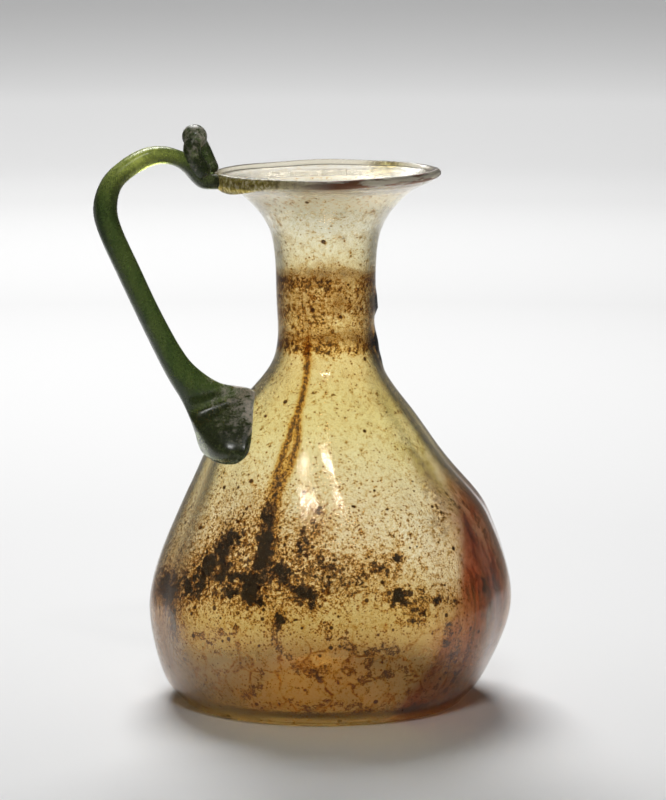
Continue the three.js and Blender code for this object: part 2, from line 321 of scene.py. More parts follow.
def makeStreakGroup():
    # noise drawn out along the axis, as glass is when it is blown and swung
    group, given, out = startGroup("drawnStreaks", Scale=200.0, Draw=(1.0, 1.0, 0.12))
    inputs = {0: given["Vector"], 1: given["Draw"]}
    drawn = addNode(group, "VectorMath", inputs, operation="MULTIPLY")
    noise = addNoise(group, drawn.outputs[0], given["Scale"], 4.0, 0.6)[0]
    group.links.new(noise, out)
    return group


stainGroup = makeStainGroup()
pitGroup = makePitGroup()
streakGroup = makeStreakGroup()


def startMaterial(name, transmission=0.0, ior=1.5):
    material = bpy.data.materials.new(name)
    material.use_nodes = True
    tree = material.node_tree
    tree.nodes.clear()
    skin = addNode(tree, "BsdfPrincipled", {"Transmission Weight": transmission, "IOR": ior})
    addNode(tree, "OutputMaterial", {"Surface": skin.outputs[0]})
    return material, tree, skin, addNode(tree, "TexCoord").outputs["Object"]


# Vessel, with the same outline as the frame's own
vesselShape = {
    "outline": [(35, 0), (39.9, 6), (45.1, 25), (38.9, 46), (31.6, 58), (23.9, 70), (13, 85), (12.3, 100),
                (14, 117), (20.4, 125.3), (26.3, 128.5)],
    "bodyWall": 1.5,
    "neckWall": 1.7,
    "baseWall": 2.4,
    "restWidth": 4.5,
    "kickHeight": 7,
    "scarRadius": 6,
    "scarHeight": 0.5,
    "scarWidth": 1.2,
    "rimRadius": 28.2,
    "rimHeight": 131.2,
    "foldHeight": 2.1,
    "foldHang": 2.3,
    # the rim's section: inwards from its radius, above the fold's foot, share of the hang
    "foldRows": [(1.5, 0, 1), (0.7, 0, 1), (0.05, 0.65, 0.7), (0, 1.1, 0.4)],
    # and on over the lip: inwards from its radius, down from its height
    "lipRows": [(0.08, 0.55), (0.7, 0), (1.5, 0.25), (2.5, 1.05), (3.2, 1.4)],
    "rimWaves": [(3, 1, 0.14), (7, 2, 0.09)],  # waves round it, start in radians, millimetres
    "hangTurn": 0.2,  # radians, as the spread
    "hangSpread": 0.42,
    "rimRise": 0.38,
    "ribCount": 16,
    "ribDepth": 0.32,
    "ribTwist": 0.25,  # radians, as far up as the shoulder
    # the unevenness of the wall: waves round it, radians of climb a millimetre, start and share
    "waves": [(2, 0.06, 0.4, 0.5), (3, -0.05, 2.1, 0.35), (5, 0.11, 4.0, 0.2), (1, 0.35, 0.0, 0.12)],
    "waveDepth": 0.2,
    "waveTop": 1.02,
    "driftTop": 64,
    "bellyDrift": 1.8,
    "shoulderDrift": -1.1,
    "baseDrift": -0.9,
    "around": 288,
    "poleRadius": 0.6,
    "wallRows": 150,
    "linerRows": 80,
    "linerSpan": (0.965, 0.02),  # where the lining starts and ends, as shares of the outline
    "baseRows": 16,
    "ringRows": 6,
    "rimRows": 26,
    "fineRows": 600,
    "faceRows": 400,
    # crusts that stand off the neck: angle, height, half width, half height, thickness
    "lumps": [
        (161, 99, 2.2, 2.6, 0.55), (163, 97, 1.2, 1.2, 0.5), (160, 88.5, 2.6, 3.6, 0.9),
        (166, 84.5, 1.6, 2.2, 0.5),
    ],
}
bellyUp, flankUp, shoulderUp, neckFootUp = (vesselShape["outline"][i][1] for i in (2, 3, 5, 6))
neckRadius, neckUp = vesselShape["outline"][7]


def wallThickness(height):
    # eased from the base's wall to the body's at the belly, and on to the neck's
    s = vesselShape
    low = s["baseWall"] + (s["bodyWall"] - s["baseWall"]) * smoothStep(height, 0, bellyUp)
    return low + (s["neckWall"] - low) * smoothStep(height, flankUp, neckUp)


def kickLine(radius, thickness):
    # the underside rises as a cosine bell from the resting ring, less the ring-shaped scar
    s = vesselShape
    inner = s["outline"][0][0] - s["restWidth"]
    rise = s["kickHeight"] * (0.5 + 0.5 * np.cos(np.pi * np.clip(radius / inner, 0, 1)))
    scar = s["scarHeight"] * bell(radius - s["scarRadius"], s["scarWidth"]) * (thickness == 0)
    return np.stack([radius, rise - scar + thickness], 1)


def vesselProfile():
    # columns: radius, height, hang; and which stretch of the wall each row is in
    s = vesselShape
    foot = s["outline"][0][0]
    inner = foot - s["restWidth"]
    spread = np.linspace(s["poleRadius"], inner, s["baseRows"])
    kick = kickLine(spread, 0)
    ring = np.stack([np.linspace(inner, foot, s["ringRows"] + 2)[1:-1], np.zeros(s["ringRows"])], 1)
    wall = centripetalCurve(s["outline"], s["wallRows"])
    rimR, rimH = s["rimRadius"], s["rimHeight"]
    fold = rimH - s["foldHeight"]
    under = [(rimR - inward, fold + above, hang) for inward, above, hang in s["foldRows"]]
    over = [(rimR - inward, rimH - below, 0) for inward, below in s["lipRows"]]
    rim = centripetalCurve(under + over, s["rimRows"])
    fine = centripetalCurve(s["outline"], s["fineRows"])
    way = np.gradient(fine, axis=0)
    way /= np.linalg.norm(way, axis=1)[:, None]
    inside = fine + np.stack([-way[:, 1], way[:, 0]], 1) * wallThickness(fine[:, 1])[:, None]
    at = np.linspace(*s["linerSpan"], s["linerRows"]) * (len(fine) - 1)
    liner = np.stack([np.interp(at, np.arange(len(fine)), column) for column in inside.T], 1)
    floor = kickLine(spread[::-1], s["baseWall"])
    parts = [kick, ring, wall, rim, liner, floor]
    padded = [np.hstack([part, np.zeros((len(part), 3 - part.shape[1]))]) for part in parts]
    stretch = np.concatenate([np.full(len(part), index) for index, part in enumerate(parts)])
    return np.vstack(padded), stretch


def centreDrift(height):
    # how far the centre line stands towards +X: out at the belly, back at the shoulder and at the foot
    s = vesselShape
    belly = plateau(height, 0, flankUp, flankUp, s["driftTop"])
    shoulder = plateau(height, flankUp, shoulderUp, shoulderUp, neckFootUp)
    foot = 1 - smoothStep(height, 0, bellyUp)
    return s["bellyDrift"] * belly + s["shoulderDrift"] * shoulder + s["baseDrift"] * foot


def ribHeight(angle, height):
    # a cosine round the wall that twists as it climbs, swells up to the belly and fades to the neck
    s = vesselShape
    fade = plateau(height, 0, bellyUp, flankUp, neckFootUp)
    return s["ribDepth"] * np.cos(s["ribCount"] * (angle + s["ribTwist"] * height / shoulderUp)) * fade


def rimTilt(angle, height):
    # up on the far side and down by the handle, as the cosine of the angle
    return vesselShape["rimRise"] * -np.cos(angle) * smoothStep(height, neckUp, vesselShape["rimHeight"])


def foldDrop(angle):
    # how far the fold hangs down by the handle, as a bell round the rim
    s = vesselShape
    return s["foldHang"] * bellRound(angle, s["hangTurn"], s["hangSpread"])


def blowPoints(radius, height, hang, angle):
    # the profile turned round the axis, with ribs, a drifting centre line, the fold's drop and the tilt
    bent = radius + ribHeight(angle, height) * smoothStep(radius, 0, neckRadius)
    up = height - foldDrop(angle) * hang + rimTilt(angle, height)
    return np.stack([-bent * np.cos(angle) + centreDrift(height), -bent * np.sin(angle), up], -1)


def handWork(angle, height):
    # the slow unevenness of free blowing, as a few sine waves round and up the wall, inwards only
    s = vesselShape
    waves = sum(share * np.sin(n * angle + climb * height + start) for n, climb, start, share in s["waves"])
    fade = smoothStep(height, 2, 18) * (1 - 0.6 * smoothStep(height, shoulderUp, 90))
    return s["waveDepth"] * (waves - s["waveTop"]) * fade


def makeVessel():
    s = vesselShape
    profile, stretch = vesselProfile()
    angle = wholeTurn(s["around"])[None, :]
    radius, height, hang = (column[:, None] + 0 * angle for column in profile.T)
    angle = angle + 0 * radius
    blown = np.isin(stretch, (2, 4))[:, None]
    radius = radius + handWork(angle, height) * blown * smoothStep(radius, 4, 12)
    outer = (stretch == 2)[:, None]
    for turnAt, heightAt, across, tall, thick in s["lumps"]:
        side = wrapAngle(angle - math.radians(turnAt)) * radius
        radius = radius + thick * bell(side, across) * bell(height - heightAt, tall) * outer
    rimWave = sum(depth * np.sin(n * angle + start) for n, start, depth in s["rimWaves"])
    height = height + rimWave * (stretch == 3)[:, None] * smoothStep(height, 120, 129)
    points = blowPoints(radius, height, hang, angle)
    points[..., 0] += axisX
    return addPiece("jugVessel", *closedTube(points)), angle, height, stretch


vesselStains = {
    # each patch: angle, height, half width, half height, lean to the right, strength
    "crust": [
        (31, 43, 3.6, 4.2, 25, 1.0), (26, 38, 3.8, 5.0, 32, 1.1), (20.5, 32.5, 5.0, 3.0, 0, 1.1),
        (9, 30, 6.0, 4.6, 0, 0.95), (0, 30, 7.0, 4.0, 0, 0.9), (13.5, 22, 2.6, 6.0, 0, 0.7),
        (36, 36, 4.6, 3.0, 0, 0.8), (40, 32.5, 6.0, 2.0, 0, 0.8), (36, 46, 3.0, 3.0, 0, 0.5),
        (46, 50, 2.2, 6.0, -8, 0.85), (47, 42, 3.2, 5.0, 0, 1.05), (45.5, 35, 3.6, 4.0, 0, 1.05),
        (48.5, 31.5, 1.6, 1.4, 0, 1.0), (56, 27.5, 1.9, 1.9, 0, 1.0), (55, 38, 3.0, 2.6, 25, 0.85),
        (61, 34.5, 3.4, 2.6, 15, 0.95), (66, 32.5, 3.0, 2.4, 0, 0.8), (70, 39, 3.6, 4.6, 0, 0.65),
        (61, 45, 3.0, 4.6, 0, 0.62), (66, 51, 2.4, 3.6, 0, 0.55), (78, 37, 4.0, 3.6, 0, 0.55),
        (88, 39, 3.4, 3.0, 0, 0.7), (95.5, 41.5, 1.6, 1.8, 0, 0.95), (95, 32, 4.2, 2.6, 8, 1.0),
        (100.5, 27, 3.2, 2.2, -10, 0.95), (108, 31, 4.2, 2.0, 0, 0.75), (116, 30, 3.0, 1.6, 0, 0.65),
        (119, 50, 1.7, 2.2, 0, 0.5), (112, 46, 1.5, 1.5, 0, 0.45), (112.5, 22, 2.0, 3.2, 0, 0.85),
        (117, 16.5, 2.6, 2.4, 0, 0.65), (104, 15, 1.0, 1.0, 0, 0.8), (103, 8.7, 1.8, 1.0, 0, 0.7),
        (131, 31.5, 1.2, 2.8, 0, 1.3), (133, 25.0, 2.1, 4.6, 0, 1.3), (66, 15.5, 2.0, 1.2, 0, 0.8),
        (71, 14, 3.4, 0.8, 0, 0.7), (43, 8, 4.0, 1.2, 0, 0.6), (90, 4.5, 5.0, 1.2, 0, 0.5),
        (262, 34, 6.0, 3.6, 0, 0.6), (286, 42, 3.6, 5.0, 20, 0.7), (310, 31, 6.0, 3.6, 0, 0.7),
        (338, 35, 4.0, 6.0, -20, 0.7), (236, 26, 4.6, 2.4, 0, 0.5), (206, 38, 2.4, 4.6, 10, 0.5),
    ],
    # the drip down from the neck: centre and half width at each height, with an island in it
    "dripHeight": [36, 41, 50, 57, 62, 68, 77, 87, 92],
    "dripAngle": [49, 48.5, 47.5, 49, 53, 55.5, 54, 48.5, 48],
    "dripWidth": [3.0, 2.8, 2.4, 1.9, 1.2, 1.1, 1.1, 1.1, 1.2],
    "splitHeight": [56, 62, 66, 73],
    "splitWidth": [0.3, 1.4, 1.4, 0.4],
    "wallHeight": [40, 57, 68, 77, 87],
    "wallRadius": [40, 32, 26, 19, 13],
    # where the reddish side starts at each height
    "flushHeight": [0, 10, 20, 28, 42, 55, 64],
    "flushStart": [99, 104, 110, 115, 123, 134, 148],
    # where each comes in, is full, fades and is gone, in millimetres up or in degrees round
    "dripSpan": (34, 42, 88, 94),
    "lowLeftSpan": (0, 8, 28, 38),
    "oliveTurn": (104, 128, 172, 200),
    "soilSpan": (14, 30, 48, 64),
    # middle and half width round the wall, in radians
    "left": (0.75, 0.9),
    "lowLeft": (-0.12, 0.42),
    "oliveLeft": (-0.1, 0.5),
    "crackleFront": (1.35, 0.8),
    # the band on the neck: where it comes in and goes out, and its darker rings as height, half height, share
    "neckBand": (85, 87.5, 104.5, 109),
    "rings": [(88.5, 1.4, 0.55), (97, 2.4, 0.2), (104.5, 2.6, 0.5)],
    "notch": (98, 16),  # where the band is thin: angle and half width
    # crack lines, as angle and height along each
    "crackRadius": 43,
    "cracks": [
        [(14, 21), (20, 20.5), (26, 21.5), (31, 20), (36, 22.5), (41, 24)],
        [(54, 26), (55.5, 22), (58, 19), (60.5, 18), (62, 16), (67, 15), (72, 15.6)],
        [(50, 14), (49, 11), (47, 9), (43, 7.5)],
        [(60, 7), (66, 5), (74, 7), (80, 6.5), (86, 5)],
        [(77, 22), (83, 19), (89, 20.5), (95, 19.5)],
        [(78, 15), (84, 14), (90, 13.5), (97, 15), (102, 12)],
        [(84, 20), (86, 16), (85, 11)],
        [(70, 26), (74, 22), (78, 24)],
        [(130, 52), (134, 44), (138, 36), (141, 26), (140, 14)],
        [(138, 50), (144, 40), (148, 28), (147, 18)],
        [(118, 24), (120, 16), (115, 9)],
        [(124, 22), (126, 14), (122, 7)],
        [(200, 22), (214, 18), (226, 21), (240, 16)],
        [(255, 12), (268, 18), (280, 14), (296, 20)],
        [(310, 10), (322, 17), (336, 13), (350, 19)],
    ],
    # dull blotches on the right shoulder, listed like the crust
    "dull": [
        (121, 53, 2.6, 5.0, 0, 0.9), (116, 47, 3.4, 3.0, 0, 0.9), (127, 60, 2.0, 5.0, 0, 0.8),
        (72, 38, 5.0, 4.0, 0, 0.8),
    ],
}


def softUnion(fields):
    # what is left uncovered is the product of what each one leaves
    left = 1.0
    for field in fields:
        left = left * (1 - np.clip(field, 0, 1))
    return 1 - left


def onWall(angle, height, turnAt, heightAt):
    # millimetres across and up the wall from one spot
    radii, heights = zip(*vesselShape["outline"])
    wallRadius = np.interp(height, heights, radii)
    return wrapAngle(angle - math.radians(turnAt)) * wallRadius, height - heightAt


def patchField(angle, height, patch, grow=1.0):
    # a leaning oval bell on the wall
    turnAt, heightAt, across, tall, lean, strength = patch
    side, up = onWall(angle, height, turnAt, heightAt)
    tipped = math.radians(lean)
    u = side * math.cos(tipped) - up * math.sin(tipped)
    v = side * math.sin(tipped) + up * math.cos(tipped)
    return strength * np.exp(-(((u / (across * grow)) ** 2 + (v / (tall * grow)) ** 2) ** 1.3))


def crackGap(angle, height):
    # distance in millimetres to the nearest crack line, up to 6
    gap = np.full(angle.shape, 6.0)
    for line in vesselStains["cracks"]:
        for start, end in zip(line[:-1], line[1:]):
            side, up = onWall(angle, height, *start)
            wayUp = end[1] - start[1]
            waySide = math.radians(end[0] - start[0]) * vesselStains["crackRadius"]
            along = np.clip((side * waySide + up * wayUp) / (waySide**2 + wayUp**2), 0, 1)
            gap = np.minimum(gap, np.hypot(side - along * waySide, up - along * wayUp))
    return gap


def addVesselFields(piece, angle, height, stretch):
    # the body's stains lie on the inside of the wall, and the neck's on the outside
    s = vesselStains
    inner = np.isin(stretch, (4, 5))[:, None] * 1.0
    outer = (stretch == 2)[:, None] * 1.0
    rim = (stretch == 3)[:, None] * 1.0
    degrees = np.degrees(angle)
    # crusts, with rust round them and round the belly, more of it on the left
    patches = softUnion([patchField(angle, height, patch) for patch in s["crust"]])
    lumps = softUnion([patchField(angle, height, (*lump[:4], 0, 1), 1.1) for lump in vesselShape["lumps"]])
    halo = softUnion([0.55 * patchField(angle, height, patch, 1.7) for patch in s["crust"]])
    left = bellRound(angle, *s["left"])
    girdle = bell(height - 38, 9) * (0.2 + 0.8 * left)
    # the drip, as two bells that part round the island
    centre = np.interp(height, s["dripHeight"], s["dripAngle"])
    split = np.interp(height, s["splitHeight"], s["splitWidth"], left=0, right=0)
    side = (degrees - centre) * np.pi / 180 * np.interp(height, s["wallHeight"], s["wallRadius"])
    width = np.interp(height, s["dripHeight"], s["dripWidth"])
    drip = np.maximum(bell(side - split, width), bell(side + split, width))
    drip = drip * plateau(height, *s["dripSpan"])
    # the neck's band, its rings and its thin place
    foot, full, fading, top = s["neckBand"]
    notch = bell(degrees - s["notch"][0], s["notch"][1])
    neck = smoothStep(height, foot, full) * (1 - smoothStep(height + 3 * notch, fading, top))
    rings = sum(share * bell(height - up, tall) for up, tall, share in s["rings"])
    gap = 1 - 0.65 * notch * bell(height - 95, 6)
    rust = softUnion([halo * 0.75, girdle * 0.38])
    neckRust = neck * (0.36 + rings * 0.8) * gap
    crust = softUnion([patches * (0.84 + 0.14 * left), drip * bell(height - 44, 9) * 0.5])
    neckCrust = softUnion([neck * rings * gap * 0.5, lumps * 1.4])
    # the reddish side, with a patch low on the left, and the olive above it
    start = np.interp(height, s["flushHeight"], s["flushStart"])
    flush = smoothStep(degrees, start - 2, start + 3) * (1 - smoothStep(degrees, 188, 214))
    flush = flush * (1 - smoothStep(height, 48, 62))
    flush = softUnion([flush, 0.8 * bellRound(angle, *s["lowLeft"]) * plateau(height, *s["lowLeftSpan"])])
    olive = plateau(degrees, *s["oliveTurn"]) * bell(height - 60, 20)
    olive = softUnion([olive * 0.9, bellRound(angle, *s["oliveLeft"]) * bell(height - 40, 17) * 0.4])
    # dust, crazing and haze, and the rim's gold
    soil = plateau(height, *s["soilSpan"]) * (0.2 + 0.8 * left)
    soil = 0.9 * soil + 0.5 * bell(height - 98, 8) + 0.5 * (1 - smoothStep(height, 3, 9))
    soil = soil + 0.10 - 0.07 * smoothStep(height, 108, 114)
    crackle = bell(height - 14, 12) * (0.35 + 0.65 * bellRound(angle, *s["crackleFront"]))
    haze = (1 - smoothStep(height, 9, 24)) * (1 - 0.5 * flush) + 0.7 * smoothStep(height, 121, 125)
    gold = smoothStep(np.cos(angle - math.radians(15)), 0.55, 0.92)
    addFields(piece, {
        "crust": crust * inner + neckCrust * outer,
        "rust": rust * inner + neckRust * outer,
        "drip": drip * inner,
        "haze": haze * inner,
        "flush": flush * inner + 0.8 * flush * outer,
        "olive": olive * inner,
        "soil": np.clip(soil, 0, 1) * np.maximum(inner, outer),
        "dull": softUnion([patchField(angle, height, patch) for patch in s["dull"]]) * inner,
        "crackGap": np.where(inner > 0, crackGap(angle, height), 6.0),
        "crackle": crackle * inner,
        "rimGold": rim * softUnion([gold, 0.9 * bell(degrees - 216, 11)]),
        "rimNear": rim * smoothStep(np.cos(angle - math.radians(72)), -0.2, 0.3),
        "rimPink": rim * smoothStep(np.cos(angle - math.radians(116)), 0.35, 0.8),
    })


amberGlass = {
    # colour up the jug: height in millimetres and colour; darker towards the foot, partly for the thick glass
    # of the base and partly as painted shade
    "tones": [
        (0, (0.30, 0.17, 0.04)), (5, (0.44, 0.27, 0.06)), (14, (0.82, 0.62, 0.19)), (24, (1.0, 0.92, 0.60)),
        (32, (1.0, 0.98, 0.80)), (41, (1.0, 0.98, 0.84)), (56, (1.0, 0.96, 0.62)), (70, (1.0, 0.91, 0.42)),
        (84, (1.0, 0.90, 0.52)), (104, (1.0, 0.98, 0.85)), (118, (1.0, 1.0, 0.92)), (126, (1.0, 0.93, 0.70)),
        (131, (1.0, 0.93, 0.70)),
    ],
    # the outside is clear below, so that the wall shows as a pale line, and honey on the neck
    "skinTones": [
        (0, (1.0, 0.975, 0.90)), (70, (1.0, 0.975, 0.90)), (88, (1.0, 0.91, 0.65)), (104, (1.0, 0.93, 0.64)),
        (118, (1.0, 0.98, 0.84)), (131, (1.0, 0.99, 0.93)),
    ],
    # what a stain leaves of the light by its thickness
    "stain": [
        (0, (1.0, 1.0, 1.0)), (0.2, (0.84, 0.66, 0.34)), (0.38, (0.60, 0.26, 0.025)),
        (0.56, (0.19, 0.045, 0.004)), (0.75, (0.022, 0.010, 0.006)), (1, (0.0016, 0.0012, 0.0010)),
    ],
    # colours laid over one another, as in layColours: inside, outside and on the rim
    "liningLayers": [
        (None, "slow", (0.42, 0.64, 0.0, 0.15), (0.80, 0.52, 0.14)),
        ("olive", "streaks", (0.36, 0.58), (0.62, 0.50, 0.06)),
        ("flush", "streaks", (0.30, 0.6, 0.6, 1.0), (0.30, 0.034, 0.009)),
        ("flush", "streaks", (0.54, 0.62, 0.0, 0.9), (0.015, 0.004, 0.004)),
        ("dull", "clumps", (0.40, 0.56), (0.30, 0.22, 0.15)),
    ],
    "skinLayers": [
        (None, "streaks", (0.4, 0.65, 0.0, 0.1), (0.80, 0.52, 0.14)),
        ("flush", "streaks", (0.34, 0.56, 0.45, 1.0), (0.72, 0.42, 0.25)),
    ],
    "rimLayers": [
        ("rimGold", "grain", (0.42, 0.50, 0.9, 0.0), (0.03, 0.012, 0.002)),
        ("rimGold", "grain", (0.51, 0.58), (0.98, 0.90, 0.50)),
        ("rimPink", "bands", (0.44, 0.52), (0.13, 0.028, 0.008)),
    ],
    "rimPale": (0.92, 0.86, 0.70),
    "rimGold": (0.38, 0.28, 0.02),
    "crackleGold": (0.80, 0.52, 0.14),
    # the sheen that weathering leaves, outside and inside
    "sheen": (0.88, 0.76, 0.64),
    "innerSheen": (0.80, 0.48, 0.30),
    # rust and crust: field, noise cells a metre, raggedness, start, end and most thickness
    "ragged": [("rust", 900.0, 1.2, 0.15, 1.1, 0.8), ("crust", 430.0, 1.0, 0.24, 0.8, 1.0)],
    # pits: cells a metre, share of them that hold one, size and thickness
    "pits": [(1500.0, 0.6, 0.36, 0.6), (480.0, 0.22, 0.26, 0.85)],
    # noises: cells a metre, detail, roughness
    "cloud": (900.0, 5.0, 0.75),
    "rimGrain": (800.0, 5.0, 0.75),
    "clumps": (420.0, 5.0, 0.75),
    "slow": (70.0, 4.0),
    "dust": (1500.0, 3.0, 0.8),
    "wobble": (260.0, 4.0),
    "wobbleReach": 6,
    # cells a metre of the drawn streaks and of the crazing
    "skinStreaks": 420.0,
    "rimStreaks": 800.0,
    "liningStreaks": 190.0,
    "crackleScale": 120.0,
    # ramps: low and high of what is read, and what they give
    "skinRoughness": (0.35, 0.7, 0.03, 0.10),
    "rimRoughness": (0.0, 1.0, 0.08, 0.4),
    "liningRoughness": (0.3, 0.7, 0.06, 0.22),
    "dustRamp": (0.48, 0.72, 0.0, 0.55),
    "dripRamp": (0.36, 0.62, 0.5, 0.88),
    "crackleEdge": (0.0, 0.09, 0.8, 0.0),
    "crackleClumps": (0.42, 0.58, 0.2, 1.0),
    "crackRagged": (0.3, 0.7, -1.5, 1.5),
    "crackEdge": (0.1, 0.9, 0.75, 0.0),
    "transmission": 0.99,
    "rimTransmission": 0.9,
    "ior": 1.5,
}


def heightTone(tree, place, tones):
    # a colour looked up from the height in object space
    top = tones[-1][0]
    up = addNode(tree, "SeparateXYZ", {0: place}).outputs[2]
    stops = [(height / top, colour) for height, colour in tones]
    return lookUp(tree, calc(tree, "DIVIDE", up, top * mm), stops)


def stainThickness(tree, place):
    # the thickness from 0 to 1 of rust, crust, dust and specks, each where its field is
    g = amberGlass
    soilField = readField(tree, "soil")
    thick = 0.0
    for name, scale, rough, low, high, top in g["ragged"]:
        ragged = useGroup(tree, stainGroup, place, Field=readField(tree, name), Scale=scale, Rough=rough)
        thick = most(tree, thick, ramp(tree, ragged, low, high, 0.0, top))
    grain = addNoise(tree, place, *g["dust"])[0]
    dust = times(tree, soilField, ramp(tree, grain, *g["dustRamp"]))
    drip = times(tree, readField(tree, "drip"), ramp(tree, grain, *g["dripRamp"]))
    thick = calc(tree, "ADD", most(tree, thick, drip), dust)
    for scale, share, size, depth in g["pits"]:
        spots = useGroup(tree, pitGroup, place, Scale=scale, Share=times(tree, soilField, share), Size=size)
        thick = most(tree, thick, times(tree, spots, depth))
    return thick, grain


def stainedColour(tree, colour, thick):
    # the glass's colour times what the stain leaves of the light
    stain = lookUp(tree, thick, amberGlass["stain"])
    inputs = {0: 1.0, 6: colour, 7: stain}
    return addNode(tree, "Mix", inputs, data_type="RGBA", blend_type="MULTIPLY").outputs[2]


def makeAmberSkin():
    # the outside: clear on the body and honey on the neck, with pits that hold dirt and the neck's stains
    g = amberGlass
    material, tree, skin, place = startMaterial("amberGlassSkin", g["transmission"], g["ior"])
    streaks = useGroup(tree, streakGroup, place, Scale=g["skinStreaks"])
    cloud = addNoise(tree, place, *g["cloud"])[0]
    colour = layColours(tree, heightTone(tree, place, g["skinTones"]), g["skinLayers"], {"streaks": streaks})
    thick, grain = stainThickness(tree, place)
    relief = calc(tree, "SUBTRACT", times(tree, cloud, 0.35), times(tree, thick, 0.5))
    setInputs(tree, skin, {
        "Base Color": stainedColour(tree, colour, thick),
        "Roughness": calc(tree, "ADD", ramp(tree, cloud, *g["skinRoughness"]), times(tree, thick, 0.2)),
        "Specular Tint": setColour(g["sheen"]),
        "Normal": addBump(tree, relief, 0.12),
    })
    return material


def makeAmberRim():
    # the folded rim: milky glass, gold and flecked by the handle, with brown lines on the other side
    g = amberGlass
    material, tree, skin, place = startMaterial("amberGlassRim", g["rimTransmission"], g["ior"])
    bands = useGroup(tree, streakGroup, place, Scale=g["rimStreaks"], Draw=(0.12, 0.12, 1.0))
    grain = addNoise(tree, place, *g["rimGrain"])[0]
    colour = blendColour(tree, readField(tree, "rimGold"), setColour(g["rimPale"]), g["rimGold"])
    setInputs(tree, skin, {
        "Base Color": layColours(tree, colour, g["rimLayers"], {"grain": grain, "bands": bands}),
        "Roughness": ramp(tree, readField(tree, "rimNear"), *g["rimRoughness"]),
        "Normal": addBump(tree, grain, 0.2),
    })
    return material


def makeAmberLining():
    # the inside: honey colour by height, drawn streaks, and stains whose thickness goes from gold to black
    g = amberGlass
    material, tree, skin, place = startMaterial("amberGlassLining", g["transmission"], g["ior"])
    clumps = addNoise(tree, place, *g["clumps"])[0]
    thick, grain = stainThickness(tree, place)
    # the height colour's dark foot is partly painted shade
    colour = layColours(tree, heightTone(tree, place, g["tones"]), g["liningLayers"], {
        "streaks": useGroup(tree, streakGroup, place, Scale=g["liningStreaks"]),
        "slow": addNoise(tree, place, *g["slow"])[0],
        "clumps": clumps,
    })

    # crazing: cells whose places wobble, some a little golden, with brown edges
    crackleField = readField(tree, "crackle")
    wobble = addNoise(tree, place, *g["wobble"])[1]
    inputs = {0: wobble, 1: [g["wobbleReach"] * mm] * 3, 2: place}
    shifted = addNode(tree, "VectorMath", inputs, operation="MULTIPLY_ADD").outputs[0]
    inputs = {"Vector": shifted, "Scale": g["crackleScale"]}
    cells = addNode(tree, "TexVoronoi", inputs)
    cellShare = addNode(tree, "SeparateColor", {0: cells.outputs["Color"]}).outputs[0]
    golden = times(tree, crackleField, times(tree, cellShare, 0.6))
    colour = blendColour(tree, golden, colour, g["crackleGold"])
    edges = addNode(tree, "TexVoronoi", inputs, feature="DISTANCE_TO_EDGE").outputs["Distance"]
    crackle = times(tree, crackleField, ramp(tree, edges, *g["crackleEdge"]))
    crackle = times(tree, crackle, ramp(tree, clumps, *g["crackleClumps"]))

    gap = calc(tree, "ADD", readField(tree, "crackGap"), ramp(tree, clumps, *g["crackRagged"]))
    cracks = ramp(tree, calc(tree, "ABSOLUTE", gap), *g["crackEdge"])
    thick = most(tree, thick, cracks, crackle)
    haze = times(tree, readField(tree, "haze"), 0.4)
    setInputs(tree, skin, {
        "Base Color": stainedColour(tree, colour, thick),
        "Roughness": calc(tree, "ADD", ramp(tree, clumps, *g["liningRoughness"]), haze),
        "Specular Tint": setColour(g["innerSheen"]),
        "Normal": addBump(tree, calc(tree, "ADD", times(tree, grain, 0.3), thick), 0.15),
    })
    return material


def finishVessel(piece, stretch):
    for make in (makeAmberSkin, makeAmberLining, makeAmberRim):
        piece.data.materials.append(make())
    s = vesselShape
    rowOfFace = np.repeat(np.arange(len(stretch) - 1), s["around"])
    slotOfStretch = np.array([0, 0, 0, 2, 1, 1], np.int32)
    slots = slotOfStretch[stretch[rowOfFace]]
    slots = np.concatenate([slots, np.zeros(s["around"], np.int32), np.ones(s["around"], np.int32)])
    piece.data.polygons.foreach_set("material_index", slots)
    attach(piece, "root")
    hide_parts("vessel")


vessel, vesselAngle, vesselHeight, vesselStretch = makeVessel()
addVesselFields(vessel, vesselAngle, vesselHeight, vesselStretch)
finishVessel(vessel, vesselStretch)
print("vessel ready", len(vessel.data.vertices))


# Handle: a squarish trail of green glass, lofted through the frame's own stations
handleShape = {
    "thickness": 5.5,
    "archThickness": 4.2,
    "width": 5.9,
    "padWidth": 20.6,
    "padDepth": 17.4,
    "padShift": -2.9,
    "padOut": 25.5,
    "webOut": 32.6,
    "reach": 58.55,
    "archHeight": 138,
    "bendHeight": 123.8,
    "padFoot": 61,
    "padTop": 78.9,
    "squareness": 2.8,
    "steps": 260,
    "sides": 72,
    "gap": 0.06,
    # where the film, the bright and the dark glass lie: ramps out from the axis and up, and for brightOut
    # a bell's middle and half width
    "filmOut": (17, 36),
    "filmUp": (62, 73, 80, 92),
    "brightOut": (47, 8),
    "brightUp": (122, 133),
    "darkPad": (66, 80),
    "darkOut": (31, 38),
    "darkUp": (120, 126),
}


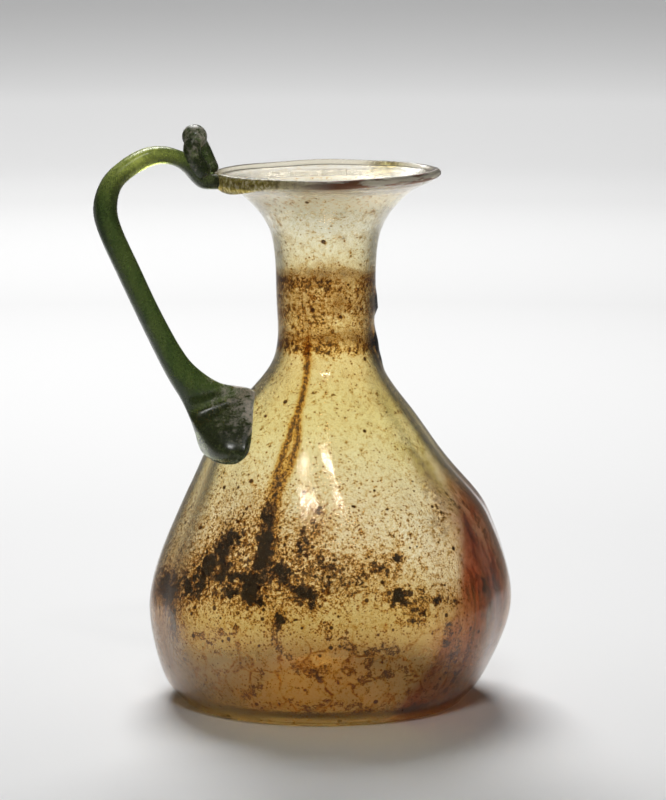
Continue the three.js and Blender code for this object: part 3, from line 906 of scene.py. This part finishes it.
def handleStations():
    # columns: out from the axis, up, lean, thickness, width, shift to the side; a place is given as shares
    # of the stretch that it is on
    h = handleShape
    rim, rimUp = vesselShape["rimRadius"], vesselShape["rimHeight"]
    thin, thick, wide = h["archThickness"], h["thickness"], h["width"]
    deep, pad, shift = h["padDepth"], h["padWidth"], h["padShift"]
    reach = h["reach"] - thick / 2
    crest = h["archHeight"] - thin / 2

    def atRim(beyond, above):
        return rim + beyond * thin, rimUp + above * thin

    def onArch(along, sink):
        return rim + (reach - rim) * along, crest - sink * thin

    def onLeg(along, rise):
        up = h["padTop"] + (h["bendHeight"] - h["padTop"]) * rise
        return h["webOut"] + (reach - h["webOut"]) * along, up

    def onPad(beyond, rise):
        return h["padOut"] * beyond, h["padFoot"] + (h["padTop"] - h["padFoot"]) * rise

    return np.array([
        (*atRim(-0.18, -0.5), -109, 0.95 * thin, wide, 0),
        (*atRim(0.59, -0.43), -114, thin, wide, 0),
        (*atRim(1, -0.14), -126, thin, wide, 0),
        (*atRim(1.5, 0.43), -129, thin, wide, 0),
        (*onArch(0.34, 0.23), -111, 0.95 * thin, wide, 0),
        (*onArch(0.48, 0), -86, thin, wide, 0),
        (*onArch(0.63, 0.14), -70, 1.07 * thin, wide, 0),
        (*onArch(0.8, 0.73), -51, 1.09 * thin, wide, 0),
        (*onArch(0.94, 1.59), -25, 0.88 * thick, wide, 0),
        (*onLeg(1, 1), 0, thick, wide, 0),
        (*onLeg(0.95, 0.87), 14, thick, wide, 0),
        (*onLeg(0.74, 0.63), 26, thick, wide, 0),
        (*onLeg(0.54, 0.41), 27, thick, wide, 0),
        (*onLeg(0.325, 0.194), 28, 1.1 * thick, wide, 0),
        (*onLeg(0.18, 0.078), 25, 1.32 * thick, 1.1 * wide, 0.1 * shift),
        (*onLeg(0, -0.013), 16, 0.61 * deep, wide, 0.2 * shift),
        (*onPad(1.067, 0.78), 17, deep, 0.8 * wide, 0.15 * shift),
        (*onPad(1, 0.49), 14, deep, 0.68 * pad, 0.9 * shift),
        (*onPad(0.99, 0.2), 3, 0.85 * deep, pad, shift),
        (*onPad(1.01, 0.05), -2, 0.66 * deep, 0.84 * pad, shift),
        (*onPad(1.02, 0), -2, 0.34 * deep, 0.53 * pad, shift),
    ])


def pushOutOfVessel(points, gap):
    # points inside the vessel's outer face go straight out from its axis to just off that face
    s = vesselShape
    x, y, z = points[..., 0] - axisX, points[..., 1], points[..., 2]
    x = x - centreDrift(z)
    angle = np.arctan2(-y, -x)
    radius = np.hypot(x, y)
    wall = centripetalCurve(s["outline"], s["faceRows"])
    level = z - rimTilt(angle, z)
    face = np.interp(level, wall[:, 1], wall[:, 0]) + handWork(angle, level) + ribHeight(angle, level)
    foldFoot = s["rimHeight"] - s["foldHeight"] - foldDrop(angle)
    face = np.where(level > foldFoot - gap, s["rimRadius"], face)
    face = np.where(level > s["rimHeight"] + gap + 0.3, 0, face)
    far = np.maximum(radius, face + gap)
    pushed = points.copy()
    pushed[..., 0] += -(far - radius) * np.cos(angle)
    pushed[..., 1] += -(far - radius) * np.sin(angle)
    return pushed


def handlePoints(grow):
    # rings square to the trail, each a superellipse: its half sizes times the 2/n powers of the cosine
    # and the sine
    h = handleShape
    columns = (splineThrough(column, h["steps"]) for column in handleStations().T)
    out, up, lean, thickness, width, shift = columns
    turnBy = wholeTurn(h["sides"])[None, :]
    power = 2 / h["squareness"]
    squareCos = np.sign(np.cos(turnBy)) * np.abs(np.cos(turnBy)) ** power
    squareSin = np.sign(np.sin(turnBy)) * np.abs(np.sin(turnBy)) ** power
    deep = (thickness[:, None] / 2 + grow) * squareCos
    wide = (width[:, None] / 2 + grow) * squareSin
    tipped = np.radians(lean)[:, None]
    x = axisX - out[:, None] + deep * np.cos(tipped)
    z = up[:, None] + deep * np.sin(tipped)
    return np.stack([x, shift[:, None] - wide, z], -1)


greenGlass = {
    "deep": (0.060, 0.105, 0.024),
    "bright": (0.66, 0.74, 0.16),
    "dark": (0.105, 0.120, 0.050),
    "film": (1.0, 0.88, 0.76),
    "seed": (0.34, 0.45, 0.12),
    "streaks": 260.0,
    "mottle": (520.0, 5.0, 0.7),
    "seeds": {"Scale": 1300.0, "Share": 0.35, "Size": 0.3},
    "filmGrain": {"Scale": 600.0, "Rough": 1.5},
    # ramps over the mottle
    "glow": (0.36, 0.58, 0.35, 1.0),
    "shade": (0.3, 0.62, 1.0, 0.75),
    "roughness": (0.3, 0.7, 0.16, 0.34),
    "transmission": 0.6,
    "ior": 1.5,
}


def makeGreenGlass():
    # green glass with streaks along the trail, seed bubbles, and a dull film where the web is thin
    g = greenGlass
    material, tree, skin, place = startMaterial("greenGlass", g["transmission"], g["ior"])
    filmField = readField(tree, "film")
    brightField = readField(tree, "bright")
    streaks = useGroup(tree, streakGroup, place, Scale=g["streaks"], Draw=(1.0, 1.0, 0.35))
    mottle = addNoise(tree, place, *g["mottle"])[0]
    light = times(tree, ramp(tree, streaks, 0.35, 0.65), 0.1)
    glow = times(tree, brightField, ramp(tree, mottle, *g["glow"]))
    colour = blendColour(tree, calc(tree, "ADD", light, glow), setColour(g["deep"]), g["bright"])
    shade = times(tree, readField(tree, "dark"), ramp(tree, mottle, *g["shade"]))
    colour = blendColour(tree, shade, colour, g["dark"])
    seeds = useGroup(tree, pitGroup, place, **g["seeds"])
    seeds = times(tree, seeds, ramp(tree, brightField, 0.0, 1.0, 0.15, 0.7))
    colour = blendColour(tree, seeds, colour, g["seed"])
    film = ramp(tree, useGroup(tree, stainGroup, place, Field=filmField, **g["filmGrain"]), 0.2, 1.5)
    film = times(tree, film, ramp(tree, filmField, 0.02, 0.25))
    relief = calc(tree, "SUBTRACT", mottle, times(tree, seeds, 0.6))
    setInputs(tree, skin, {
        "Base Color": blendColour(tree, film, colour, g["film"]),
        "Roughness": calc(tree, "ADD", ramp(tree, mottle, *g["roughness"]), times(tree, film, 0.3)),
        "Normal": addBump(tree, relief, 0.12),
    })
    return material


def makeHandle(material):
    h = handleShape
    points = pushOutOfVessel(handlePoints(0), h["gap"])
    piece = addPiece("jugHandle", *closedTube(points))
    up = points[..., 2]
    out = axisX - points[..., 0]
    middle, half = h["brightOut"]
    end = (1 - smoothStep(out, *h["darkOut"])) * smoothStep(up, *h["darkUp"])
    addFields(piece, {
        "film": (1 - smoothStep(out, *h["filmOut"])) * plateau(up, *h["filmUp"]),
        "bright": bell(out - middle, half) * smoothStep(up, *h["brightUp"]),
        "dark": np.maximum(1 - smoothStep(up, *h["darkPad"]), end),
    })
    piece.data.materials.append(material)
    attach(piece, "root")
    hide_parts("handle")
    return piece


greenMaterial = makeGreenGlass()
handle = makeHandle(greenMaterial)
print("handle ready", len(handle.data.vertices))


# Thumb-rest: the end of the trail, looped over and laid back on the lip
loopShape = {
    "rise": 5.1,
    "set": 5.9,
    "footSet": 1.2,
    "span": 4.7,
    "thickness": 4.3,
    "crown": 6,
    "voxel": 0.2,
    "rows": 60,
    "sides": 40,
    "domeShare": 0.15,
    "beadRows": 32,
    "beadSides": 48,
    "beadFade": 3,
    "easeSteps": 10,
}


def tubeAlong(path, radius, sides):
    # circles square to the path, one for each of its points, with the sideways direction kept level
    way = np.gradient(path, axis=0)
    way /= np.linalg.norm(way, axis=1)[:, None]
    side = np.cross(way, [0.0, 1.0, 0.0])
    side /= np.linalg.norm(side, axis=1)[:, None]
    across = np.cross(way, side)
    turnBy = wholeTurn(sides)[None, :, None]
    ring = side[:, None] * np.cos(turnBy) + across[:, None] * np.sin(turnBy)
    return path[:, None] + ring * radius[:, None, None]


def domedRadius(count, radius, endShare):
    # full along the middle, and the height of a half circle over the last share at both ends
    along = np.linspace(0, 1, count)
    inward = np.clip(np.minimum(along, 1 - along) / endShare, 0, 1)
    return radius * np.sqrt(np.clip(1 - (1 - inward) ** 2, 0.02, 1))


def makeThumbRest(material):
    s = loopShape
    half = s["span"] / 2
    thick = s["thickness"]
    crown = handleShape["archHeight"] + s["rise"] - s["crown"] / 2
    foot = vesselShape["rimRadius"] + s["footSet"]
    out = vesselShape["rimRadius"] + s["set"]

    def onArm(side, beyond, above):
        return axisX - foot - beyond * thick, side, vesselShape["rimHeight"] + above * thick

    front = centripetalCurve([
        onArm(-half, 0.34, -0.1), onArm(-half, 0.85, 0.5), onArm(-half, 1.22, 1.2),
        (axisX - out, -half * 0.7, crown),
    ], s["rows"])
    back = centripetalCurve([
        onArm(half, -0.29, -0.15), onArm(half, 0.29, 1.17), (axisX - out + 0.32 * thick, half * 0.7, crown),
    ], s["rows"])
    radius = domedRadius(s["rows"], thick / 2, s["domeShare"])
    parts = [closedTube(tubeAlong(path, radius, s["sides"]), flip=True) for path in (front, back)]
    up = np.linspace(-1, 1, s["beadRows"] + 2)[1:-1] * np.pi / 2
    turnBy = wholeTurn(s["beadSides"])
    bead = np.stack(np.broadcast_arrays(
        axisX - out + 0.17 * thick - s["crown"] / 2 * np.cos(up)[:, None] * np.cos(turnBy),
        -(s["span"] + 0.66 * thick) / 2 * np.cos(up)[:, None] * np.sin(turnBy),
        crown + s["crown"] / 2 * np.sin(up)[:, None],
    ), -1)
    parts.append(closedTube(bead))
    starts = np.cumsum([0] + [len(part[0]) for part in parts])
    quads, fans = (np.vstack([part[i] + start for part, start in zip(parts, starts)]) for i in (1, 2))
    piece = addPiece("jugThumbRest", np.vstack([part[0] for part in parts]), quads, fans)
    setAll(piece.modifiers.new("fuse", "REMESH"), mode="VOXEL", voxel_size=s["voxel"] * mm)
    setAll(piece.modifiers.new("ease", "SMOOTH"), factor=0.5, iterations=s["easeSteps"])
    cutter = addPiece("loopCutter", *closedTube(pushOutOfVessel(handlePoints(handleShape["gap"]), 0.02)))
    cut = piece.modifiers.new("cut", "BOOLEAN")
    setAll(cut, operation="DIFFERENCE", solver="MANIFOLD", object=cutter)
    graph = bpy.context.evaluated_depsgraph_get()
    fused = bpy.data.meshes.new_from_object(piece.evaluated_get(graph))
    piece.modifiers.clear()
    piece.data = fused
    bpy.data.meshes.remove(cutter.data)
    points = np.empty(len(fused.vertices) * 3)
    fused.vertices.foreach_get("co", points)
    pushed = pushOutOfVessel(points.reshape(-1, 3) / mm, handleShape["gap"]) * mm
    fused.vertices.foreach_set("co", pushed.ravel())
    fused.polygons.foreach_set("use_smooth", np.ones(len(fused.polygons), bool))
    fused.update()
    side, up = (points.reshape(-1, 3)[:, i] / mm for i in (1, 2))
    bead = smoothStep(up, crown - s["beadFade"], crown)
    # the back arm is less dark than the front one: painted reflection of the bright backdrop on that side
    addFields(piece, {
        "dark": (0.5 - 0.3 * smoothStep(side, -1.5, 1.5)) * (1 - 0.7 * bead),
        "film": 0.4 * bead + 0.2,
    })
    fused.materials.clear()
    fused.materials.append(material)
    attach(piece, "root")
    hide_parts("thumb_rest")
    return piece


thumbRest = makeThumbRest(greenMaterial)
print("thumb rest ready", len(thumbRest.data.vertices))


# Studio: a sweep all round, its paper painted with light that falls off away from the jug and with shade
# beside and in front of it, a large soft light above and behind that glass doesn't mirror, a faint one behind
# for the edges, and a small one in front for the highlight on the shoulder
studio = {
    "floorRadius": 1500,
    "sweepRadius": 700,
    "sweepRows": 24,
    "floorRings": [1, 60, 200, 500, 900],
    "around": 96,
    "paper": 0.80,
    "paperGrain": (900.0, 3.0),
    "paperRoughness": 0.75,
    "paperGloss": 0.2,
    # painted light: the paper's colour falls off with the distance from the jug as the light would, in
    # millimetres
    "paintedLightFalloff": [
        (0, 1.03), (120, 0.975), (250, 0.87), (490, 0.74), (800, 0.58), (1290, 0.60), (1705, 0.78),
        (1845, 0.56), (2200, 0.43),
    ],
    # painted shade: the grey floor beside the paper stands for the studio's unlit sides; it starts this far
    # to the side of the jug, a share of the way back further out behind it, and this far in front of it
    "paperHalfWidth": 160,
    "paperSpread": 0.09,
    "paperFront": 130,
    "paperEdge": (1.35, 1.4),  # where the grey is full, as shares of the half width and of the front
    "paintedShadeTone": 0.2,
    "topLight": {"away": 1050, "right": -150, "up": 1150, "aim": 600, "size": (800, 560), "power": 30.5},
    "edgeLight": {"away": 1250, "right": -250, "up": 800, "aim": 0, "size": (500, 160), "power": 1.6},
    "frontLight": {"away": -720, "right": -20, "up": 960, "aim": 0, "size": (300, 62), "power": 2.2},
    "aimHeight": 50,
    "world": (0.05, 0.05, 0.05),
}


def makeSweep():
    # a disc whose edge turns up through a quarter circle
    s = studio
    bend = np.linspace(0, np.pi / 2, s["sweepRows"])
    radius = np.concatenate([s["floorRings"], s["floorRadius"] + s["sweepRadius"] * np.sin(bend)])
    height = np.concatenate([np.zeros(len(s["floorRings"])), s["sweepRadius"] * (1 - np.cos(bend))])
    turnBy = wholeTurn(s["around"])
    points = np.stack(np.broadcast_arrays(
        radius[:, None] * np.cos(turnBy), radius[:, None] * np.sin(turnBy), height[:, None]), -1)
    vertices = np.vstack([points.reshape(-1, 3), [[0, 0, 0]]])
    j = np.arange(s["around"])
    fan = np.stack([np.full(s["around"], len(vertices) - 1), j, (j + 1) % s["around"]], 1)
    sweep = addPiece("studioSweep", vertices, gridFaces(len(radius), s["around"])[:, ::-1], fan)
    material, tree, skin, place = startMaterial("studioPaper")
    flat = addNode(tree, "VectorMath", {0: place}, operation="LENGTH").outputs["Value"]
    # the paper's colour carries painted light, bright near the jug and falling off away from it
    far = s["paintedLightFalloff"][-1][0]
    fade = [(distance / far, [s["paper"] * share] * 3) for distance, share in s["paintedLightFalloff"]]
    lit = lookUp(tree, calc(tree, "DIVIDE", flat, far * mm), fade)
    toSide, toBack = (
        addNode(tree, "VectorMath", {0: place, 1: way}, operation="DOT_PRODUCT").outputs["Value"]
        for way in (rightDir, awayDir)
    )
    # painted shade: the floor beside the jug and in front of it is grey, for the studio's unlit sides
    wide, front = s["paperHalfWidth"] * mm, s["paperFront"] * mm
    apart = calc(tree, "SUBTRACT", calc(tree, "ABSOLUTE", toSide), times(tree, toBack, s["paperSpread"]))
    paintedShadeBeside = ramp(tree, apart, wide, wide * s["paperEdge"][0])
    before = ramp(tree, toBack, -front * s["paperEdge"][1], -front, 1.0, 0.0)
    setInputs(tree, skin, {
        "Base Color": blendColour(tree, most(tree, paintedShadeBeside, before), lit, [s["paintedShadeTone"]] * 3),
        "Roughness": s["paperRoughness"],
        "Specular IOR Level": s["paperGloss"],
        "Normal": addBump(tree, addNoise(tree, place, *s["paperGrain"])[0], 0.05),
    })
    sweep.data.materials.append(material)


def makeLight(name, row):
    wide, tall = row["size"]
    data = bpy.data.lights.new(name, "AREA")
    setAll(data, shape="RECTANGLE", size=wide * mm, size_y=tall * mm, energy=row["power"])
    light = addObject(name, data)
    place = fromJug(row["away"], row["right"], row["up"])
    light.matrix_world = aimedAt(place, fromJug(row["aim"], 0, studio["aimHeight"]))
    return light


makeSweep()
makeLight("topLight", studio["topLight"]).visible_glossy = False
makeLight("edgeLight", studio["edgeLight"])
makeLight("frontLight", studio["frontLight"])
world = bpy.data.worlds.new("studioAir")
world.use_nodes = True
world.node_tree.nodes["Background"].inputs[0].default_value = setColour(studio["world"])
bpy.context.scene.world = world
bpy.context.scene.view_settings.view_transform = "Standard"
print("studio ready")
